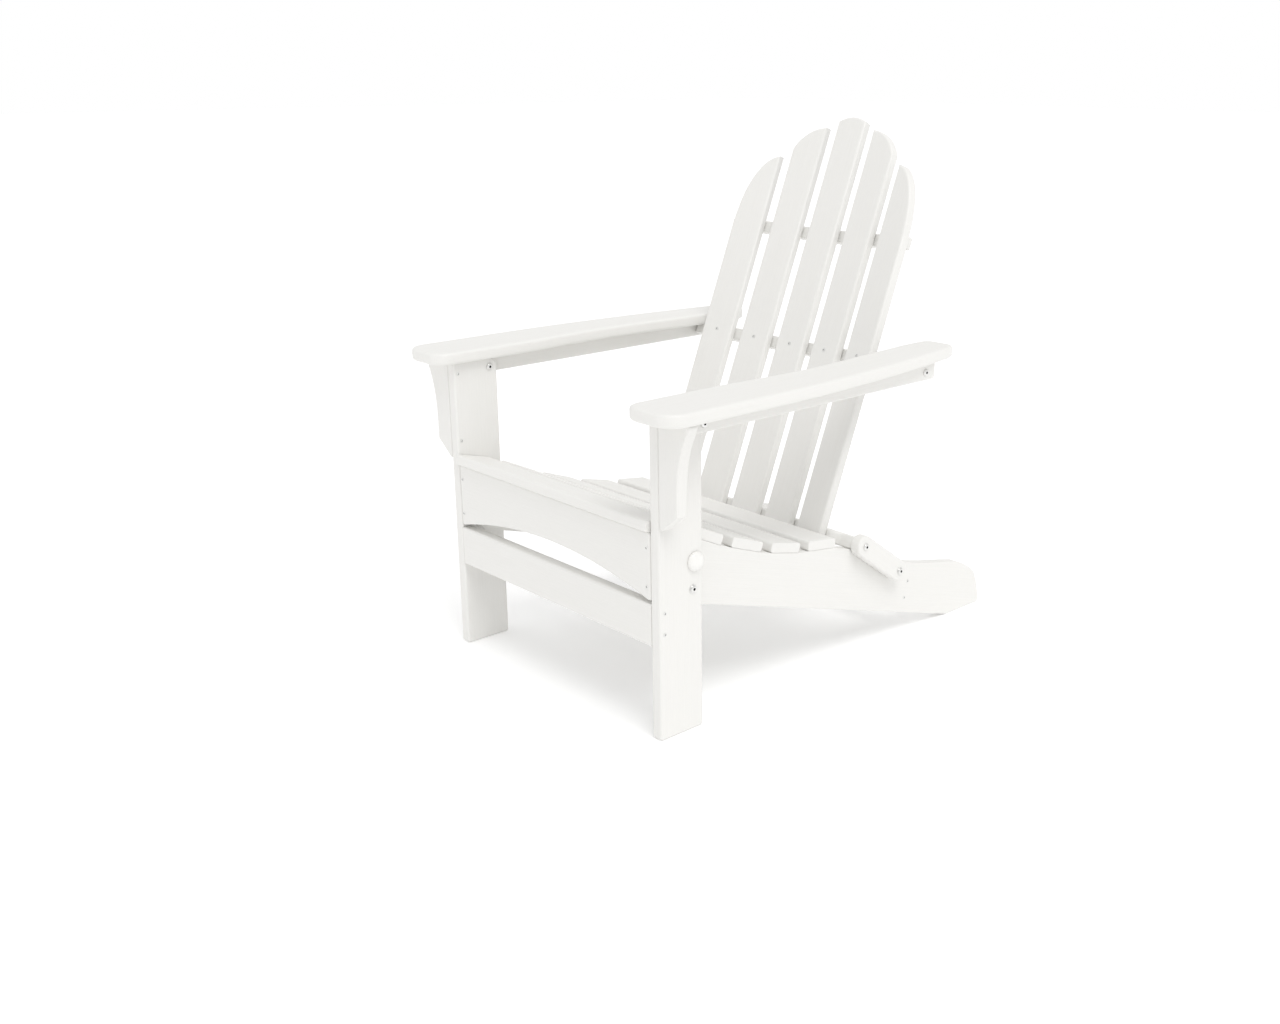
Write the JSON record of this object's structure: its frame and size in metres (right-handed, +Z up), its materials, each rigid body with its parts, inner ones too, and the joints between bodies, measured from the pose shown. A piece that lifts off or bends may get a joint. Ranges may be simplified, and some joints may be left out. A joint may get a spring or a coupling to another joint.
{
  "type": "folding adirondack chair",
  "caption": "Folding outdoor lounge chair with a sloping slatted seat, a tall fanned slat back, broad flat arms on upright legs and long runner sides",
  "frame": {"origin": "bottom centre of the chair's box, on the floor, with the chair open for use", "axes": "+Z up, -Y the way the sitter faces, +X to the sitter's left; the chair is its own mirror image across the plane X = 0"},
  "size_m": [0.74, 0.935, 0.9719],
  "materials": {
    "board": "solid white plastic lumber, satin, with a faint brushed grain along each board",
    "cap": "white moulded plastic, slightly glossy",
    "steel": "stainless steel, dull"
  },
  "bodies": {
    "seat_frame": {"side_left": "board", "side_right": "board", "apron": "board", "seat_slat_1": "board", "seat_slat_2": "board", "seat_slat_3": "board", "seat_slat_4": "board", "seat_slat_5": "board", "rear_stretcher": "board", "leg_pivot_bolt_left": "steel", "leg_pivot_bolt_right": "steel", "leg_pivot_washer_left": "steel", "leg_pivot_washer_right": "steel", "link_foot_bolt_left": "steel", "link_foot_bolt_right": "steel"},
    "legs": {"leg_left": "board", "leg_right": "board", "corbel_left": "board", "corbel_right": "board", "leg_pivot_cap_left": "cap", "leg_pivot_cap_right": "cap", "lock_bolt_left": "steel", "lock_bolt_right": "steel", "arm_nut_left": "steel", "arm_nut_right": "steel", "front_stretcher": "board"},
    "link_left": {"link_left": "board"},
    "link_right": {"link_right": "board"},
    "back": {"back_slat_1": "board", "back_slat_2": "board", "back_slat_3": "board", "back_slat_4": "board", "back_slat_5": "board", "back_rail_lower": "board", "back_rail_middle": "board", "back_rail_top": "board", "back_bolt_left": "steel", "back_bolt_right": "steel", "link_top_bolt_left": "steel", "link_top_bolt_right": "steel"},
    "arm_left": {"arm_left": "board", "arm_rail_left": "board", "arm_bolt_left": "steel"},
    "arm_right": {"arm_right": "board", "arm_rail_right": "board", "arm_bolt_right": "steel"}
  },
  "joints": [
    {"name": "link_left_swing", "type": "hinge", "parent": "seat_frame", "child": "link_left", "pos_m": [0.2585, 0.1785, 0.146], "axis": [1, 0, 0], "range_deg": [-140.34, 0]},
    {"name": "link_right_swing", "type": "hinge", "parent": "seat_frame", "child": "link_right", "pos_m": [-0.2585, 0.1785, 0.146], "axis": [1, 0, 0], "range_deg": [-140.34, 0]},
    {"name": "leg_fold", "type": "hinge", "parent": "seat_frame", "child": "legs", "pos_m": [0, -0.3491, 0.298], "axis": [1, 0, 0], "range_deg": [0, 44]},
    {"name": "back_fold", "type": "hinge", "parent": "link_left", "child": "back", "pos_m": [0, 0.07673, 0.21902], "axis": [1, 0, 0], "range_deg": [0, 217.47]},
    {"name": "arm_left_swing", "type": "hinge", "parent": "back", "child": "arm_left", "pos_m": [0.3038, 0.20216, 0.53181], "axis": [1, 0, 0], "range_deg": [-89.64, 0]},
    {"name": "arm_right_swing", "type": "hinge", "parent": "back", "child": "arm_right", "pos_m": [-0.3038, 0.20216, 0.53181], "axis": [1, 0, 0], "range_deg": [-89.64, 0]}
  ],
  "couplings": [
    {"joint": "link_right_swing", "follows": "link_left_swing", "ratio": 1},
    {"joint": "leg_fold", "follows": "link_left_swing", "ratio": -0.31353},
    {"joint": "back_fold", "follows": "link_left_swing", "ratio": -1.5496},
    {"joint": "arm_left_swing", "follows": "link_left_swing", "ratio": 0.63873},
    {"joint": "arm_right_swing", "follows": "link_left_swing", "ratio": 0.63873}
  ]
}
